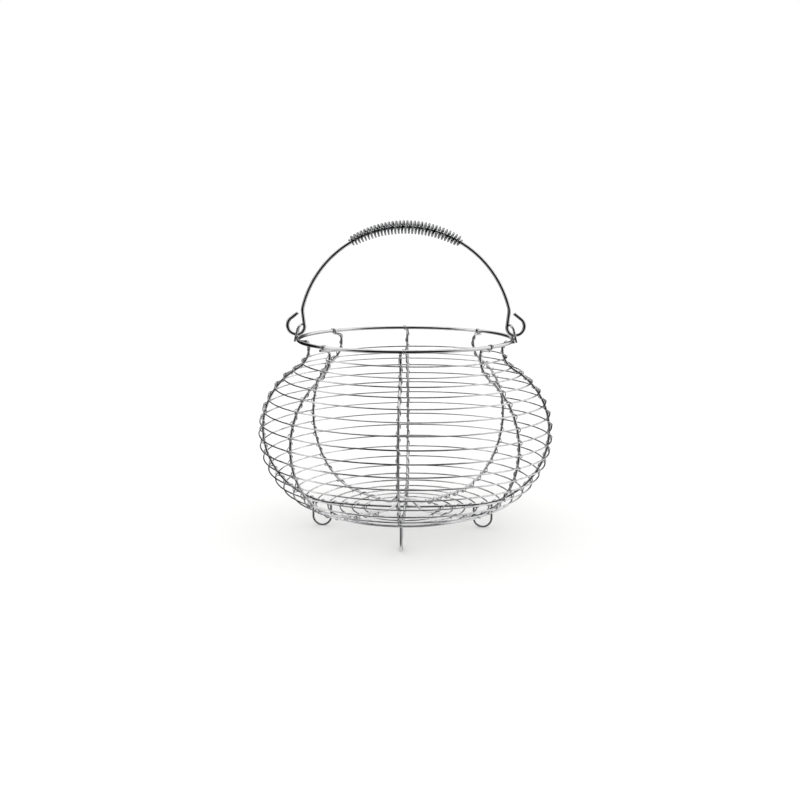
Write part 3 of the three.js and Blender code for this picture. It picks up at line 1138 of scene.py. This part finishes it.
@dataclass
class SpringGrip:
    """A barrel-shaped spring on the top of the bail, its end curls closed on the wire."""

    bail: Bail
    wire: float = 1.4
    curls: int = 33
    half_angle: float = 31.0
    mid_radius: float = 4.98
    end_radius: float = 3.8
    steps_per_curl: int = 24
    sides: int = 10

    def build(self, material: bpy.types.Material) -> None:
        """Makes and dresses the spring.

        Args:
            material: The finish.
        """
        closed = seat(self.bail.wire, self.wire)
        half_angle = math.radians(self.half_angle)
        count = self.curls * self.steps_per_curl
        path = []
        for i in range(count + 1):
            share = i / count
            from_end = min(share, 1 - share) * self.curls
            barrel = self.end_radius + (self.mid_radius - self.end_radius) * math.sin(math.pi * share)
            # The first and the last curl close in on the wire
            radius = closed + (barrel - closed) * smoothstep(from_end, 0, 1)
            phase = TURN * i / self.steps_per_curl
            reach = self.bail.arch_radius + radius * math.cos(phase)
            point = polar(self.bail.arch_centre, reach, QUARTER + half_angle * (1 - 2 * share))
            path.append(Vector((point.x, radius * math.sin(phase), point.y)))
        spring = Wire("grip_spring_wire", path, self.wire, self.sides).build()
        dress(spring, Body.HANDLE, "grip_spring", material)


@dataclass(frozen=True)
class Opening:
    """An oval opening of the light tent. Azimuths count from the front, to the right."""

    azimuth: float
    elevation: float
    half_width: float
    soft: float
    # Height over width
    tall: float


@dataclass
class Studio:
    """A white light tent in a dark room, with a white floor and the camera.

    The chrome mirrors the tent and its openings, so a wire is dark where it faces the camera and
    white along its sides.
    """

    camera_place: tuple[float, float, float] = (42.4, -954.4, 268.8)
    camera_pitch: float = 9.54
    camera_heading: float = 2.81
    focal_pixels: float = 1165.5
    frame_pixels: float = 800.0
    sensor: float = 36.0
    floor_size: float = 60000.0
    floor_drop: float = 0.1
    paper: MattPaper = MattPaper()
    # What the chrome mirrors of the tent above the floor
    tent: float = 1.4
    # What the chrome mirrors of the white floor
    sheet: float = 1.0
    # What the chrome mirrors of the room through an opening
    room: float = 0.01
    horizon_soft: float = 5.0
    # The tent's light on the floor
    floor_light: float = 1.21
    # What the camera sees past the floor
    backdrop: float = 1.0
    openings: tuple[Opening, ...] = (
        Opening(azimuth=-2, elevation=2, half_width=47, soft=30, tall=1.4),
        Opening(azimuth=168, elevation=0, half_width=4, soft=28, tall=1.2),
        Opening(azimuth=-128, elevation=0, half_width=28, soft=18, tall=0.9),
    )

    def _dark(
        self, tree: bpy.types.NodeTree, opening: Opening, direction: bpy.types.NodeSocket
    ) -> bpy.types.NodeSocket:
        """Adds one opening.

        Args:
            tree: The world's nodes.
            opening: The opening.
            direction: The direction that is looked in.

        Returns:
            How much of the opening lies in that direction, from 0 to 1.
        """
        turn, rise = math.radians(opening.azimuth), math.radians(opening.elevation)
        squash = Vector((1, 1, 1 / opening.tall))
        middle = Vector((math.sin(turn), -math.cos(turn), math.tan(rise))) * squash
        squashed = add_node(
            tree, "ShaderNodeVectorMath", {0: direction, 1: squash}, operation="MULTIPLY"
        ).outputs["Vector"]
        unit = add_node(
            tree, "ShaderNodeVectorMath", {0: squashed}, operation="NORMALIZE"
        ).outputs["Vector"]
        facing = add_node(
            tree, "ShaderNodeVectorMath", {0: unit, 1: middle.normalized()}, operation="DOT_PRODUCT"
        ).outputs["Value"]
        widths = (opening.half_width, opening.half_width + opening.soft)
        inner, outer = (math.cos(math.radians(width)) for width in widths)
        return add_node(
            tree,
            "ShaderNodeMapRange",
            {"Value": facing, "From Min": outer, "From Max": inner},
            interpolation_type="SMOOTHSTEP",
        ).outputs["Result"]

    def light(self) -> None:
        """Makes the studio's light, with plain white where the camera looks past the floor."""
        world = bpy.data.worlds.new("studio_room")
        world.use_nodes = True
        tree = world.node_tree
        tree.nodes.clear()
        direction = add_node(tree, "ShaderNodeTexCoord").outputs["Generated"]
        height = add_node(tree, "ShaderNodeSeparateXYZ", {"Vector": direction}).outputs["Z"]
        edge = math.sin(math.radians(self.horizon_soft))
        cloth = add_node(
            tree,
            "ShaderNodeMapRange",
            {
                "Value": height,
                "From Min": -edge,
                "From Max": edge,
                "To Min": self.sheet,
                "To Max": self.tent,
            },
        ).outputs["Result"]
        dark: bpy.types.NodeSocket | float = 0.0
        for opening in self.openings:
            hole = self._dark(tree, opening, direction)
            dark = add_node(tree, "ShaderNodeMath", {0: dark, 1: hole}, operation="MAXIMUM").outputs[0]
        strength = add_node(
            tree, "ShaderNodeMapRange", {"Value": dark, "To Min": cloth, "To Max": self.room}
        ).outputs["Result"]
        ray = add_node(tree, "ShaderNodeLightPath").outputs
        lit = add_node(
            tree,
            "ShaderNodeMapRange",
            {"Value": ray["Is Glossy Ray"], "To Min": self.floor_light, "To Max": strength},
        ).outputs["Result"]
        seen = add_node(
            tree,
            "ShaderNodeMapRange",
            {"Value": ray["Is Camera Ray"], "To Min": lit, "To Max": self.backdrop},
        ).outputs["Result"]
        white = (1, 1, 1, 1)
        sky = add_node(tree, "ShaderNodeBackground", {"Color": white, "Strength": seen}).outputs[0]
        add_node(tree, "ShaderNodeOutputWorld", {"Surface": sky})
        bpy.context.scene.world = world

    def lay_floor(self) -> None:
        """Makes the pale floor."""
        half = self.floor_size / 2 * MM
        low = -self.floor_drop * MM
        corners = [(-half, -half, low), (half, -half, low), (half, half, low), (-half, half, low)]
        mesh = bpy.data.meshes.new("floor")
        mesh.from_pydata(corners, [], [(0, 1, 2, 3)])
        floor = bpy.data.objects.new("floor", mesh)
        bpy.context.scene.collection.objects.link(floor)
        mesh.materials.append(self.paper.material())
        # The chrome mirrors the light's own white sheet in its place
        floor.visible_glossy = False

    def set_camera(self) -> None:
        """Puts the camera where the photograph was taken from."""
        camera = bpy.data.cameras.new("camera")
        camera.sensor_width = self.sensor
        camera.lens = self.focal_pixels / self.frame_pixels * self.sensor
        holder = bpy.data.objects.new("camera", camera)
        holder.location = Vector(self.camera_place) * MM
        holder.rotation_euler = (
            QUARTER - math.radians(self.camera_pitch),
            0,
            math.radians(self.camera_heading),
        )
        bpy.context.scene.collection.objects.link(holder)
        bpy.context.scene.camera = holder

    def build(self) -> None:
        """Makes the whole studio."""
        self.light()
        self.lay_floor()
        self.set_camera()
        bpy.context.scene.view_settings.view_transform = "Standard"


def main() -> None:
    """Builds the basket piece by piece, then its studio."""
    logging.basicConfig(level=logging.INFO, format="%(message)s")
    outline = BasketOutline()
    weft = Weft(outline)
    bail = Bail(outline)
    thick = ChromePlate("chrome_plated_thick_wire").material()
    rib = ChromePlate("chrome_plated_rib_wire", line_width=0.18).material()
    thin = ChromePlate("chrome_plated_thin_wire", line_width=0.14, cloud=6.0).material()
    # The spring's plate is a darker copy of the same chrome: painted shade standing in for the dark
    # reflections in its curls
    spring = ChromePlate(
        "chrome_plated_spring_wire_painted_shade", bright="#969799", clouded="#838486", line_width=0.14, cloud=5.0
    ).material()
    RimRing(outline).build(thick)
    Ribs(outline, weft).build(rib)
    weft.build(thin)
    Bindings(outline, weft).build(thin)
    Feet(outline, weft).build(rib)
    Ears(outline).build(rib)
    bail.build(thick)
    SpringGrip(bail).build(spring)
    Studio().build()


if __name__ == "__main__":
    main()
